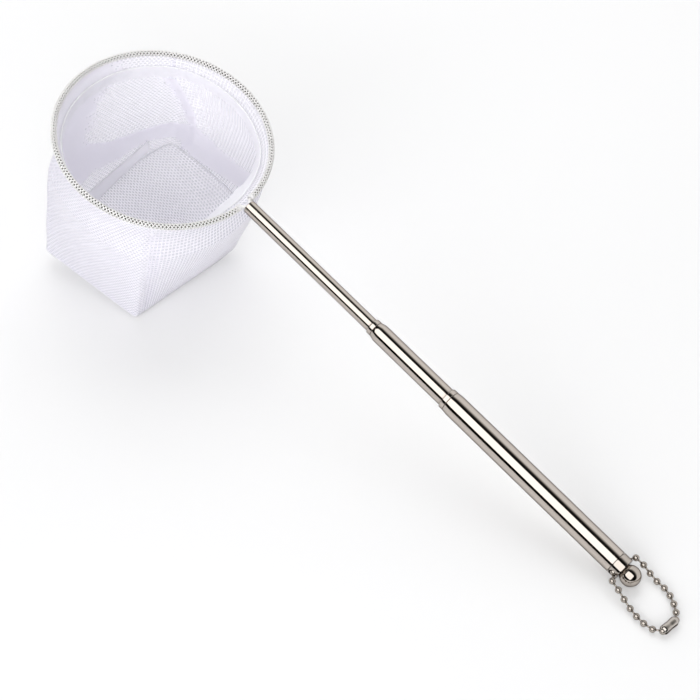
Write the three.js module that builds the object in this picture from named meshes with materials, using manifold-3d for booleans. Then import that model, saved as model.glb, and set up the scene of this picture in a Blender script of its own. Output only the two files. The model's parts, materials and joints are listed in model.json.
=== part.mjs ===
// Telescopic dip net: a round hoop with a net bag on a three-stage tube handle with a bead chain.
// Lengths in millimetres. Each stage is drawn along its own tube axis: x = 0 where the hoop meets
// that axis, +X towards the tail, +Z out of the hoop's mouth. The whole is then laid on the floor.
import * as THREE from "three";
import Module from "manifold-3d";

const RUN_GAP = 0.15; // radial gap between pieces that slide or turn in each other
const FIT_GAP = 0.3; // gap between pieces that are fixed to each other
const ROUND = 24; // facets round a tube
const HOOP_STEPS = 60; // straight steps round the hoop
const WRAP_STEPS = 2; // and along a thread wrap
const BEND_STEPS = 5; // and in each bend of the wire at the neck
const WIRE_FACETS = 3; // facets round half of the wire, and of its sleeves
const SLEEVE_FACETS = 4;

// Hoop
const HOOP_RADIUS = 50;
const HOOP_YAW = THREE.MathUtils.degToRad(6); // the hoop sits a little to one side of the handle's line
const WIRE_RADIUS = 0.9;
const WIRE_TAIL_Y = 1.1;
const WIRE_TAIL_LENGTH = 14;
const BRAID_WALL = 0.4;
const BRAID_RADIUS = WIRE_RADIUS + FIT_GAP + BRAID_WALL;
const NECK_HALF = 4.2; // half the open stretch of hoop where the wire turns into the tube
const WRAP_LENGTH = 3.8;

// Tubes: stage radii step down by the lip's wall and the running gap
const WALL = 0.5;
const HANDLE_RADIUS = 5.4;
const MIDDLE_RADIUS = 4.45;
const INNER_RADIUS = 3.2;
const LIP_NECK = 2.3;
const LIP_SHOULDER = 3;
const LIP_LENGTH = LIP_NECK + LIP_SHOULDER;
const LIP_LINE = 0.12; // depth and half width of the fine line round a lip
const INNER_START = 2.4;
const INNER_LENGTH = 96.5;
const INNER_LEFT = 1.2; // how far the inner tube can still be drawn out
const MIDDLE_LENGTH = 96.1;
const MIDDLE_LEFT = 32.5;
const HANDLE_LENGTH = 100.8;

// Friction shells: two half sleeves in a groove at the foot of each sliding tube
const SHELL_BITE = 0.45; // depth of the groove below the tube's outside
const MIDDLE_SHELL = 10;
const INNER_SHELL = 8;
const SHELL_SPLIT = 0.4;
const SHELL_PLAY = 0.3;
const FOOT_LIP = 1.5;
const FOOT_CONE = 0.6;
const FERRULE_LENGTH = 10;

// Where the stages stand: a tube shows what its foot, its shells and the next lip leave of it
const FOOT_LENGTH = SHELL_PLAY + FOOT_LIP;
const MIDDLE_START = INNER_START + INNER_LENGTH - LIP_LENGTH - INNER_LEFT - INNER_SHELL - FOOT_LENGTH;
const HANDLE_START = MIDDLE_START + MIDDLE_LENGTH - LIP_LENGTH - MIDDLE_LEFT - MIDDLE_SHELL - FOOT_LENGTH;
const HANDLE_END = HANDLE_START + HANDLE_LENGTH;

// End knob
const SPIGOT_LENGTH = 8;
const SPIGOT_WALL = 1.2;
const BAND_LENGTH = 4.8;
const BAND_EDGE = 0.3;
const NECK_RADIUS = 3;
const BALL_RADIUS = 4.7;
const BALL_STEPS = 8; // facets from its neck to its pole
const BALL_REACH = 8.4; // the ball's middle and the cross-hole, past the handle's end
const HOLE_REACH = 2.4;
const BALL_X = HANDLE_END + BALL_REACH;
const HOLE_X = HANDLE_END + HOLE_REACH;
const BEAD_RADIUS = 1.5;
const HOLE_RADIUS = BEAD_RADIUS + FIT_GAP;

// Bag: from the hoop's circle down to a boxed base, whose far corners hang unevenly
const BAG_DEPTH = 80;
const BAG_WALL = 0.8;
const BAG_BASE_X = 31; // half sizes of the base
const BAG_BASE_Y = 40;
const BAG_TAPER = 0.09; // the base's near edge is this share shorter than its far edge
const BAG_CORNER = 4;
const BASE_FACETS = 1; // facets round half of a corner of the base
const BAG_OFFSET = new THREE.Vector2(2, 1); // the base's middle from the hoop's
const FAR_LEFT_SAG = 11; // the far corners' heights from the near edge's level
const FAR_RIGHT_LIFT = 14;
const BAG_BULGE = 2.5;
const BAG_LEVELS = 6;
const CELLS_ROUND = 20; // openings that stand for the net's cells: round the wall, down it
const CELLS_DOWN = 5;
const CELL_FACETS = 3; // facets of the wall along one opening
const CELLS_FROM = 0.15; // the wall's shares between which the openings lie
const CELLS_TO = 0.98;
const CELL_OPEN = 0.7; // share of a cell's side that is open
const BASE_CELLS = [5, 6]; // openings along the base's two sides
const BAG_AROUND = CELLS_ROUND * CELL_FACETS;
const RIM_DROP = BRAID_RADIUS + FIT_GAP;
const HEM_TOP = 4.5; // the turned hem's band, depths below the hoop's plane
const HEM_BOTTOM = 11.5;
const HEM_WALL = 0.5;
const THREAD_RADIUS = 0.3;
const THREAD_DEPTH = 6.5;
const TAPE_WIDTH = 3.6;
const TAPE_THICK = 0.5;
const TAPE_INSET = 9; // the tape stops this far short of the base's corners

// Bead chain: bead centres from the cross-hole, x to the tail along the floor, y across, and the
// share of the way down from the hole to the floor
const BEAD_PLACES = [
  [31.6, -11.4, 0.86], [27.8, -13.2, 0.97], [23.4, -13.3, 1], [19.1, -12.6, 1], [14.9, -11.4, 0.95],
  [10.7, -10.3, 0.68], [6.6, -9.2, 0.35], [2.4, -8.2, 0.08], [0, -4.4, 0], [0, 0, 0], [0, 4.4, 0],
  [2.2, 8.2, 0.06], [6.2, 8.6, 0.4], [10.2, 8.2, 0.78], [14.4, 7.6, 1], [18.7, 7, 1],
  [22.8, 5.5, 1], [26.5, 3.2, 1], [29.8, 0.3, 0.97], [32.2, -3.2, 0.86],
];
const LINK_RADIUS = 0.5;
const BEAD_SIDES = 8;
const BEAD_RINGS = [-1, -0.6, 0, 0.6, 1]; // rings of points along a bead, from link to link
const FLOOR_GAP = 0.05;
const CLASP_OVER = 0.4; // how far the clasp runs past the middles of the end beads
const CLASP_WALL = 0.35;
const CLASP_RADIUS = BEAD_RADIUS + FIT_GAP + CLASP_WALL;
const CLASP_OPEN = 0.9; // radians of the rolled sheet left open

const wasm = await Module();
wasm.setup();

const LOOKS = {
  steel: { color: 0xcfc8c0, roughness: 0.12, metalness: 1 },
  braid: { color: 0xd8d6d2, roughness: 0.3, metalness: 1 },
  brass: { color: 0xb9975b, roughness: 0.4, metalness: 1 },
  nylon: { color: 0xf2f1f4, roughness: 0.8, metalness: 0 },
};

function mesh(name, geometry, look) {
  const made = new THREE.Mesh(geometry, new THREE.MeshStandardMaterial(LOOKS[look]));
  made.name = name;
  return made;
}

// A turned piece about the tube axis, from [x, radius] points that close on themselves.
function turned(profile) {
  const points = [...profile, profile[0]].map(([x, r]) => new THREE.Vector2(r, x));
  return new THREE.LatheGeometry(points, ROUND).rotateZ(-Math.PI / 2);
}

// The mouth end of an outer tube, swaged in to guide the tube that slides in it: outside points.
function lipOutside(start, bore, radius) {
  const lip = bore + WALL;
  const line = start + LIP_NECK;
  return [
    [start, lip],
    [line - LIP_LINE, lip],
    [line, lip - LIP_LINE],
    [line + LIP_LINE, lip],
    [start + LIP_LENGTH, radius],
  ];
}

function lipInside(start, bore, radius) {
  return [
    [start + LIP_LENGTH, radius - WALL],
    [start + LIP_NECK, bore],
    [start, bore],
  ];
}

// The foot of a sliding tube: a groove for the friction shells and a lip that keeps them.
function footOutside(end, radius, shell) {
  const low = end - FOOT_LIP;
  const high = low - shell - SHELL_PLAY;
  return [
    [high - FOOT_CONE, radius],
    [high, radius - SHELL_BITE],
    [low, radius - SHELL_BITE],
    [low, radius],
    [end, radius],
  ];
}

function footInside(end, radius, shell) {
  const high = end - FOOT_LIP - shell - SHELL_PLAY;
  const bore = radius - SHELL_BITE - WALL;
  return [
    [end, bore],
    [high, bore],
    [high - FOOT_CONE, radius - WALL],
  ];
}

function handleTube() {
  const bore = MIDDLE_RADIUS + RUN_GAP;
  return turned([
    ...lipOutside(HANDLE_START, bore, HANDLE_RADIUS),
    [HANDLE_END, HANDLE_RADIUS],
    [HANDLE_END, HANDLE_RADIUS - WALL],
    ...lipInside(HANDLE_START, bore, HANDLE_RADIUS),
  ]);
}

function middleTube() {
  const bore = INNER_RADIUS + RUN_GAP;
  const end = MIDDLE_START + MIDDLE_LENGTH;
  return turned([
    ...lipOutside(MIDDLE_START, bore, MIDDLE_RADIUS),
    ...footOutside(end, MIDDLE_RADIUS, MIDDLE_SHELL),
    ...footInside(end, MIDDLE_RADIUS, MIDDLE_SHELL),
    ...lipInside(MIDDLE_START, bore, MIDDLE_RADIUS),
  ]);
}

function innerTube() {
  const end = INNER_START + INNER_LENGTH;
  return turned([
    [INNER_START, INNER_RADIUS],
    ...footOutside(end, INNER_RADIUS, INNER_SHELL),
    ...footInside(end, INNER_RADIUS, INNER_SHELL),
    [INNER_START, INNER_RADIUS - WALL],
  ]);
}

// A flat shape extruded along the tube axis from x = start.
function drawn(shape, start, depth) {
  return new THREE.ExtrudeGeometry(shape, { depth, bevelEnabled: false, curveSegments: ROUND / 2 })
    .rotateY(Math.PI / 2)
    .translate(start, 0, 0);
}

// Half of a split sleeve in a tube's groove; side +1 or -1.
function shellHalf(tubeEnd, radius, outerBore, length, side) {
  const inside = radius - SHELL_BITE + RUN_GAP;
  const outside = outerBore - RUN_GAP;
  const middle = (side * Math.PI) / 2;
  const trimIn = Math.PI / 2 - SHELL_SPLIT / inside;
  const trimOut = Math.PI / 2 - SHELL_SPLIT / outside;
  const shape = new THREE.Shape();
  shape.absarc(0, 0, outside, middle - trimOut, middle + trimOut, false);
  shape.absarc(0, 0, inside, middle + trimIn, middle - trimIn, true);
  shape.closePath();
  return drawn(shape, tubeEnd - FOOT_LIP - length - SHELL_PLAY / 2, length);
}

// The bush in the inner tube's mouth that grips both wire tails.
function ferrule() {
  const shape = new THREE.Shape();
  shape.absarc(0, 0, INNER_RADIUS - WALL - RUN_GAP, 0, 2 * Math.PI, false);
  const slot = new THREE.Path();
  const r = WIRE_RADIUS + RUN_GAP;
  slot.absarc(0, WIRE_TAIL_Y, r, 0, Math.PI, false);
  slot.absarc(0, -WIRE_TAIL_Y, r, Math.PI, 2 * Math.PI, false);
  slot.closePath();
  shape.holes.push(slot);
  return drawn(shape, INNER_START + 2 * FIT_GAP, FERRULE_LENGTH);
}

// A geometry as a manifold-3d solid, and back.
function solid(geometry) {
  const position = geometry.getAttribute("position");
  const keys = new Map();
  const points = [];
  const find = (i) => {
    const key = [position.getX(i), position.getY(i), position.getZ(i)].map((c) => c.toFixed(4)).join();
    if (!keys.has(key)) {
      keys.set(key, keys.size);
      points.push(position.getX(i), position.getY(i), position.getZ(i));
    }
    return keys.get(key);
  };
  const order = geometry.index ? [...geometry.index.array] : [...Array(position.count).keys()];
  const triVerts = new Uint32Array(order.map(find));
  const vertProperties = new Float32Array(points);
  return new wasm.Manifold(new wasm.Mesh({ numProp: 3, vertProperties, triVerts }));
}

function geometryOf(made) {
  const { vertProperties, triVerts } = made.getMesh();
  return new THREE.BufferGeometry()
    .setAttribute("position", new THREE.BufferAttribute(vertProperties, 3))
    .setIndex(new THREE.BufferAttribute(triVerts, 1));
}

// End knob: hollow spigot, band flush with the handle, neck and ball, with the chain's hole across.
function endKnob() {
  const spigot = HANDLE_RADIUS - WALL - RUN_GAP;
  const band = HANDLE_END + FIT_GAP;
  const bandEnd = HANDLE_END + BAND_LENGTH;
  const ball = [];
  const from = Math.asin(NECK_RADIUS / BALL_RADIUS);
  for (let i = 0; i < BALL_STEPS; i++) {
    const a = from + ((Math.PI - from) * i) / BALL_STEPS;
    ball.push([BALL_X - BALL_RADIUS * Math.cos(a), BALL_RADIUS * Math.sin(a)]);
  }
  const body = turned([
    [HANDLE_END - SPIGOT_LENGTH, spigot - SPIGOT_WALL],
    [HANDLE_END - SPIGOT_LENGTH, spigot],
    [band, spigot],
    [band, HANDLE_RADIUS],
    [bandEnd - BAND_EDGE, HANDLE_RADIUS],
    [bandEnd, HANDLE_RADIUS - BAND_EDGE],
    [bandEnd, NECK_RADIUS],
    ...ball,
    [BALL_X + BALL_RADIUS, 0],
    [HANDLE_END - SPIGOT_WALL, 0],
    [HANDLE_END - SPIGOT_WALL, spigot - SPIGOT_WALL],
  ]);
  const across = 2 * (HANDLE_RADIUS + FIT_GAP);
  const hole = new THREE.CylinderGeometry(HOLE_RADIUS, HOLE_RADIUS, across, ROUND / 2);
  return geometryOf(solid(body).subtract(solid(hole.translate(HOLE_X, 0, 0))));
}

// The hoop's centre, and a point on its centreline at an angle from where it meets the handle.
const HOOP_CENTRE = new THREE.Vector3(-Math.cos(HOOP_YAW), -Math.sin(HOOP_YAW), 0)
  .multiplyScalar(HOOP_RADIUS);

function hoopPoint(angle) {
  const a = HOOP_YAW + angle;
  return new THREE.Vector3(Math.cos(a), Math.sin(a), 0).multiplyScalar(HOOP_RADIUS).add(HOOP_CENTRE);
}

class HoopArc extends THREE.Curve {
  constructor(from, to) {
    super();
    this.from = from;
    this.to = to;
  }
  getPoint(t, target = new THREE.Vector3()) {
    return target.copy(hoopPoint(this.from + (this.to - this.from) * t));
  }
}

function round(radius, bore = 0) {
  const shape = new THREE.Shape().absarc(0, 0, radius, 0, 2 * Math.PI, false);
  if (bore) shape.holes.push(new THREE.Path().absarc(0, 0, bore, 0, 2 * Math.PI, false));
  return shape;
}

function swept(shape, curve, steps, facets) {
  const options = { extrudePath: curve, steps, bevelEnabled: false, curveSegments: facets };
  return new THREE.ExtrudeGeometry(shape, options);
}

// One wire: down into the tube, round the hoop, and back into the tube beside itself.
function hoopWire() {
  const open = NECK_HALF / HOOP_RADIUS;
  const tailEnd = INNER_START + WIRE_TAIL_LENGTH;
  const bend = (side) => {
    const inTube = new THREE.Vector3(INNER_START + FIT_GAP, side * WIRE_TAIL_Y, 0);
    const corner = new THREE.Vector3(0, side * WIRE_TAIL_Y, 0);
    const curve = new THREE.QuadraticBezierCurve3(inTube, corner, hoopPoint(side * open));
    return curve.getPoints(BEND_STEPS);
  };
  const ring = new HoopArc(open, 2 * Math.PI - open).getPoints(HOOP_STEPS).slice(1, -1);
  const along = [tailEnd, (tailEnd + INNER_START) / 2];
  const tail = (side) => along.map((x) => new THREE.Vector3(x, side * WIRE_TAIL_Y, 0));
  const route = [...tail(1), ...bend(1), ...ring, ...bend(-1).reverse(), ...tail(-1).reverse()];
  const curve = new THREE.CatmullRomCurve3(route, false, "centripetal");
  return swept(round(WIRE_RADIUS), curve, 2 * HOOP_STEPS, WIRE_FACETS);
}

function sleeve(from, to, steps) {
  const arc = new HoopArc(from / HOOP_RADIUS, to / HOOP_RADIUS);
  return swept(round(BRAID_RADIUS, WIRE_RADIUS + FIT_GAP), arc, steps, SLEEVE_FACETS);
}

const HOOP_ROUND = 2 * Math.PI * HOOP_RADIUS;
const WRAP_FROM = NECK_HALF + FIT_GAP;
const BRAID_FROM = WRAP_FROM + WRAP_LENGTH + FIT_GAP;

// The base's outline, seen along the hoop's axis; inset moves it inwards.
function baseShape(inset) {
  const [a, b, r] = [BAG_BASE_X - inset, BAG_BASE_Y - inset, BAG_CORNER - inset];
  const shape = new THREE.Shape();
  shape.absarc(a - r, b - r, r, 0, Math.PI / 2, false);
  shape.absarc(r - a, b - r, r, Math.PI / 2, Math.PI, false);
  shape.absarc(r - a, r - b, r, Math.PI, 1.5 * Math.PI, false);
  shape.absarc(a - r, r - b, r, 1.5 * Math.PI, 2 * Math.PI, false);
  shape.closePath();
  return shape;
}

// A point of the flat base where it hangs: tapered to the near edge, far corners down and up.
function hung(p) {
  const near = (p.x / BAG_BASE_X + 1) / 2;
  const right = (p.y / BAG_BASE_Y + 1) / 2;
  const lift = (1 - near) * (right * FAR_RIGHT_LIFT - (1 - right) * FAR_LEFT_SAG);
  const y = p.y * (1 - BAG_TAPER * near);
  return new THREE.Vector3(p.x + BAG_OFFSET.x, y + BAG_OFFSET.y, p.z + lift);
}

// A geometry drawn on the flat base, moved to where the base hangs.
function hangOnBase(geometry) {
  const position = geometry.getAttribute("position");
  for (let i = 0; i < position.count; i++) {
    const at = hung(new THREE.Vector3().fromBufferAttribute(position, i)).add(HOOP_CENTRE);
    position.setXYZ(i, ...at.toArray());
  }
  return geometry;
}

// One level of the bag's wall: a share of the way from the hoop's circle to the base.
const WALL_FOOT = BAG_WALL + FIT_GAP - BAG_DEPTH;

function bagLevel(share, inset) {
  const level = THREE.MathUtils.lerp(-RIM_DROP, WALL_FOOT, share);
  const swell = BAG_BULGE * Math.sin(Math.PI * share);
  return baseShape(inset).getSpacedPoints(BAG_AROUND).slice(0, BAG_AROUND).map((base) => {
    const foot = hung(new THREE.Vector3(base.x, base.y, 0));
    const out = base.clone().normalize();
    const rim = out.clone().multiplyScalar(HOOP_RADIUS + BAG_WALL / 2 - inset);
    const at = rim.lerp(new THREE.Vector2(foot.x, foot.y), share).addScaledVector(out, swell);
    return new THREE.Vector3(at.x, at.y, level + foot.z * share * share).add(HOOP_CENTRE);
  });
}

// Rows of points joined into strips; a row of one point closes the end, else the last joins the first.
function strips(rows) {
  const points = rows.flat();
  const starts = rows.map((_, i) => rows.slice(0, i).flat().length);
  const faces = [];
  const join = (a, b) => {
    const n = Math.max(rows[a].length, rows[b].length);
    const at = (row, j) => starts[row] + (j % rows[row].length);
    for (let j = 0; j < n; j++) {
      if (rows[a].length > 1) faces.push(at(a, j), at(a, j + 1), at(b, j));
      if (rows[b].length > 1) faces.push(at(a, j + 1), at(b, j + 1), at(b, j));
    }
  };
  for (let i = 0; i + 1 < rows.length; i++) join(i, i + 1);
  if (rows[0].length > 1) join(rows.length - 1, 0);
  return new THREE.BufferGeometry().setFromPoints(points).setIndex(faces);
}

function middleOf(row) {
  return row.reduce((sum, p) => sum.add(p), new THREE.Vector3()).divideScalar(row.length);
}

// One opening of the wall's net, as a block that reaches through the wall.
const CELL_RIB = (1 - CELL_OPEN) / 2; // share of a cell's side on each side of its opening

function wallCell(column, row) {
  const deep = (CELLS_TO - CELLS_FROM) / CELLS_DOWN;
  const ends = [row + CELL_RIB, row + 1 - CELL_RIB].map((r) => CELLS_FROM + deep * r);
  const inner = Array.from({ length: CELL_FACETS - 1 }, (_, i) => (i + 1) / CELL_FACETS);
  const along = [CELL_RIB, ...inner, 1 - CELL_RIB].map((c) => (column + c) * CELL_FACETS);
  const sides = [-BAG_WALL, 2 * BAG_WALL];
  const spots = sides.flatMap((inset) => ends.flatMap((share) => {
    const level = bagLevel(share, inset);
    return along.map((a) => {
      const next = level[Math.ceil(a) % BAG_AROUND];
      return level[Math.floor(a)].clone().lerp(next, a - Math.floor(a)).toArray();
    });
  }));
  return wasm.Manifold.hull(spots);
}

// The bag's wall, one cloth from the hoop down to the base's edge.
function bagWall() {
  const shares = Array.from({ length: BAG_LEVELS + 1 }, (_, i) => i / BAG_LEVELS);
  const outside = shares.map((s) => bagLevel(s, 0)).reverse();
  const cloth = strips([...outside, ...shares.map((s) => bagLevel(s, BAG_WALL))]);
  const cells = Array.from({ length: CELLS_ROUND * CELLS_DOWN }, (_, i) =>
    wallCell(i % CELLS_ROUND, Math.floor(i / CELLS_ROUND)));
  return geometryOf(solid(cloth).subtract(wasm.Manifold.union(cells)));
}

// The bag's base, drawn flat with its openings and then hung.
function bagBase() {
  const [columns, rows] = BASE_CELLS;
  const [long, wide] = [(2 * BAG_BASE_X) / columns, (2 * BAG_BASE_Y) / rows];
  const cells = Array.from({ length: columns * rows }, (_, i) => {
    const x = ((i % columns) + 0.5) * long - BAG_BASE_X;
    const y = (Math.floor(i / columns) + 0.5) * wide - BAG_BASE_Y;
    const block = new THREE.BoxGeometry(CELL_OPEN * long, CELL_OPEN * wide, 2 * BAG_WALL);
    return solid(block.translate(x, y, BAG_WALL / 2));
  });
  const options = { depth: BAG_WALL, bevelEnabled: false, curveSegments: BASE_FACETS };
  const flat = solid(new THREE.ExtrudeGeometry(baseShape(0), options));
  const net = geometryOf(flat.subtract(wasm.Manifold.union(cells)));
  return hangOnBase(net.translate(0, 0, -BAG_DEPTH));
}

function wallAt(depth, inset) {
  return bagLevel((depth - RIM_DROP) / (-WALL_FOOT - RIM_DROP), inset);
}

// The turned-in hem, a band on the inside of the bag's wall under the hoop.
function hemBand() {
  const near = BAG_WALL + FIT_GAP;
  const far = near + HEM_WALL;
  return strips([
    wallAt(HEM_BOTTOM, near), wallAt(HEM_TOP, near),
    wallAt(HEM_TOP, far), wallAt(HEM_BOTTOM, far),
  ]);
}

// The thread that sews the hem down, on its inside.
function hemThread() {
  const centre = BAG_WALL + HEM_WALL + 2 * FIT_GAP + THREAD_RADIUS;
  const at = (depth, off) => wallAt(depth, centre + off);
  return strips([
    at(THREAD_DEPTH + THREAD_RADIUS, 0), at(THREAD_DEPTH, -THREAD_RADIUS),
    at(THREAD_DEPTH - THREAD_RADIUS, 0), at(THREAD_DEPTH, THREAD_RADIUS),
  ]);
}

// The tape sewn along the far edge of the base, inside.
function seamTape() {
  const length = 2 * (BAG_BASE_Y - BAG_CORNER - TAPE_INSET);
  const x = BAG_WALL + TAPE_WIDTH - BAG_BASE_X;
  const z = BAG_WALL + FIT_GAP + TAPE_THICK / 2 - BAG_DEPTH;
  return hangOnBase(new THREE.BoxGeometry(TAPE_WIDTH, length, TAPE_THICK).translate(x, 0, z));
}

// The tilt at which the base's near edge and the ball knob both touch the floor.
function tilt() {
  const edge = HOOP_CENTRE.x + BAG_OFFSET.x + BAG_BASE_X;
  const run = Math.hypot(BALL_X - edge, BAG_DEPTH);
  return Math.atan2(BAG_DEPTH, BALL_X - edge) - Math.asin(BALL_RADIUS / run);
}

// Bead centres from the cross-hole, in the floor's frame.
function beadCentres() {
  const hole = BALL_RADIUS + (BALL_X - HOLE_X) * Math.sin(tilt());
  const drop = hole - BEAD_RADIUS - FLOOR_GAP;
  return BEAD_PLACES.map(([x, y, down]) => new THREE.Vector3(x, y, -down * drop));
}

function ringAt(centre, across, up, radius) {
  return Array.from({ length: BEAD_SIDES }, (_, i) => {
    const a = (2 * Math.PI * i) / BEAD_SIDES;
    return centre.clone()
      .addScaledVector(across, radius * Math.cos(a))
      .addScaledVector(up, radius * Math.sin(a));
  });
}

// The chain as one run of beads and links.
function beadChain() {
  const centres = beadCentres();
  const rows = [];
  centres.forEach((centre, i) => {
    const next = centres[Math.min(i + 1, centres.length - 1)];
    const ahead = next.clone().sub(centres[Math.max(i - 1, 0)]).normalize();
    const across = new THREE.Vector3(0, 0, 1).cross(ahead).normalize();
    const up = ahead.clone().cross(across);
    BEAD_RINGS.forEach((o) => {
      const radius = Math.max(LINK_RADIUS, BEAD_RADIUS * Math.sqrt(1 - o * o));
      const reach = o * Math.sqrt(BEAD_RADIUS ** 2 - LINK_RADIUS ** 2);
      rows.push(ringAt(centre.clone().addScaledVector(ahead, reach), across, up, radius));
    });
  });
  return strips([[middleOf(rows[0])], ...rows, [middleOf(rows.at(-1))]]);
}

// The clasp: a sheet rolled round the chain's two end beads.
function claspGeometry() {
  const centres = beadCentres();
  const [a, b] = [centres[0], centres.at(-1)];
  const shape = new THREE.Shape();
  const half = CLASP_OPEN / 2;
  shape.absarc(0, 0, CLASP_RADIUS, half, 2 * Math.PI - half, false);
  shape.absarc(0, 0, CLASP_RADIUS - CLASP_WALL, 2 * Math.PI - half, half, true);
  shape.closePath();
  const depth = a.distanceTo(b) + 2 * CLASP_OVER;
  const made = new THREE.ExtrudeGeometry(shape, { depth, bevelEnabled: false, curveSegments: ROUND / 2 });
  const up = new THREE.Vector3(0, 0, 1);
  const turn = new THREE.Quaternion().setFromUnitVectors(up, b.clone().sub(a).normalize());
  return made.translate(0, 0, -depth / 2)
    .applyQuaternion(turn)
    .translate(...a.clone().add(b).divideScalar(2).toArray());
}

function handleGroup() {
  const middleEnd = MIDDLE_START + MIDDLE_LENGTH;
  const innerEnd = INNER_START + INNER_LENGTH;
  const handleBore = HANDLE_RADIUS - WALL;
  const middleBore = MIDDLE_RADIUS - WALL;
  return new THREE.Group().add(
    mesh("handle_tube", handleTube(), "steel"),
    mesh("end_knob", endKnob(), "steel"),
    mesh("middle_tube", middleTube(), "steel"),
    mesh("middle_shell_left", shellHalf(middleEnd, MIDDLE_RADIUS, handleBore, MIDDLE_SHELL, 1), "brass"),
    mesh("middle_shell_right", shellHalf(middleEnd, MIDDLE_RADIUS, handleBore, MIDDLE_SHELL, -1), "brass"),
    mesh("inner_tube", innerTube(), "steel"),
    mesh("inner_shell_left", shellHalf(innerEnd, INNER_RADIUS, middleBore, INNER_SHELL, 1), "brass"),
    mesh("inner_shell_right", shellHalf(innerEnd, INNER_RADIUS, middleBore, INNER_SHELL, -1), "brass"),
    mesh("wire_ferrule", ferrule(), "brass"),
  );
}

function headGroup() {
  return new THREE.Group().add(
    mesh("hoop_wire", hoopWire(), "steel"),
    mesh("hoop_braid", sleeve(BRAID_FROM, HOOP_ROUND - BRAID_FROM, HOOP_STEPS), "braid"),
    mesh("neck_wrap_left", sleeve(WRAP_FROM, WRAP_FROM + WRAP_LENGTH, WRAP_STEPS), "nylon"),
    mesh("neck_wrap_right", sleeve(-WRAP_FROM - WRAP_LENGTH, -WRAP_FROM, WRAP_STEPS), "nylon"),
    mesh("bag_wall", bagWall(), "nylon"),
    mesh("bag_base", bagBase(), "nylon"),
    mesh("hem_band", hemBand(), "nylon"),
    mesh("hem_thread", hemThread(), "nylon"),
    mesh("seam_tape", seamTape(), "nylon"),
  );
}

// Everything laid on the floor, with the origin under the middle of all but the chain.
function lying() {
  const net = new THREE.Group().add(handleGroup(), headGroup());
  net.rotation.y = tilt();
  net.updateMatrixWorld(true);
  const hole = new THREE.Vector3(HOLE_X, 0, 0).applyMatrix4(net.matrixWorld);
  const box = new THREE.Box3().setFromObject(net, true);
  const chain = new THREE.Group().add(
    mesh("bead_chain", beadChain(), "steel"),
    mesh("chain_clasp", claspGeometry(), "steel"),
  );
  chain.position.copy(hole);
  const all = new THREE.Group().add(net, chain);
  const middle = box.getCenter(new THREE.Vector3());
  all.position.set(-middle.x, -middle.y, -box.min.z);
  return new THREE.Group().add(all);
}

export default lying();
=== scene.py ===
import json
import math

import bmesh
import bpy
import numpy as np
from mathutils import Matrix, Vector, noise


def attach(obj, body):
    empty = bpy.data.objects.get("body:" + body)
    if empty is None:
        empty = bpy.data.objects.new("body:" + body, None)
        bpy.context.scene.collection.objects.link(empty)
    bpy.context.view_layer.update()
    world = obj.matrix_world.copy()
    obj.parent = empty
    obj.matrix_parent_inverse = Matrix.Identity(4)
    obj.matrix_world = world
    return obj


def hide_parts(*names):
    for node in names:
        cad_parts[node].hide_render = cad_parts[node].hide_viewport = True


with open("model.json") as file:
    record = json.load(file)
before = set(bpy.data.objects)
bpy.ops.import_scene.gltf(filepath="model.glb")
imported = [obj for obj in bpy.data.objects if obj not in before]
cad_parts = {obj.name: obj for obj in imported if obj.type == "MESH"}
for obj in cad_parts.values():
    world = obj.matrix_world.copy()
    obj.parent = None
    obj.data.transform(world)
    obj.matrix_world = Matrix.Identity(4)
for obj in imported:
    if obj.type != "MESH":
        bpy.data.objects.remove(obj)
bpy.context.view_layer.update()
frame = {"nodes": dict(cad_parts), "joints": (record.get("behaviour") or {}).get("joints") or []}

# Camera: a long lens beside the handle's tail, looking down on the net with the
# hoop to the upper left, as the product was photographed.
eye = bpy.data.objects.new("camera", bpy.data.cameras.new("camera"))
bpy.context.scene.collection.objects.link(eye)
eye_round, eye_above = math.radians(43.855), math.radians(46.498)
eye.location = (0.389669, -0.40096, 0.61683)
eye.rotation_euler = (math.pi / 2 - eye_above, 0, eye_round)
eye.data.sensor_width, eye.data.lens = 36, 92.504
eye.data.clip_start, eye.data.clip_end = 0.01, 30
bpy.context.scene.camera = eye

# Bead chain: hollow steel beads strung on short wire links, threaded through the
# knob's cross-hole and lying on the floor; a folded clasp joins its two ends.
joints = {joint["name"]: joint for joint in frame["joints"]}
cross_hole = Vector(joints["chain_swing"]["pos_m"])
bead_radius, link_radius, bead_dimple, floor_gap = 0.0015, 0.00042, 0.0003, 0.00005
bead_rests_at = bead_radius + floor_gap
bead_spots_mm = [
    (31.6, -11.4, 0.86), (27.8, -13.2, 0.97), (23.4, -13.3, 1), (19.1, -12.6, 1),
    (14.9, -11.4, 0.95), (10.7, -10.3, 0.68), (6.6, -9.2, 0.35), (2.4, -8.2, 0.08),
    (0, -4.4, 0), (0, 0, 0), (0, 4.4, 0), (2.2, 8.2, 0.06), (6.2, 8.6, 0.4),
    (10.2, 8.2, 0.78), (14.4, 7.6, 1), (18.7, 7, 1), (22.8, 5.5, 1), (26.5, 3.2, 1),
    (29.8, 0.3, 0.97), (32.2, -3.2, 0.86),
]
beads = [
    cross_hole + Vector((x / 1000, y / 1000, -down * (cross_hole.z - bead_rests_at)))
    for x, y, down in bead_spots_mm
]


def facing(spot, ahead):
    """A place at spot with its own Z axis along ahead."""
    return Matrix.Translation(spot) @ ahead.to_track_quat("Z", "Y").to_matrix().to_4x4()


def finished(mesh, name, material):
    """The bmesh as a smooth object at the origin, with one material."""
    made = bpy.data.meshes.new(name)
    for face in mesh.faces:
        face.smooth = True
    mesh.to_mesh(made)
    mesh.free()
    made.materials.append(material)
    piece = bpy.data.objects.new(name, made)
    bpy.context.scene.collection.objects.link(piece)
    return piece


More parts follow.
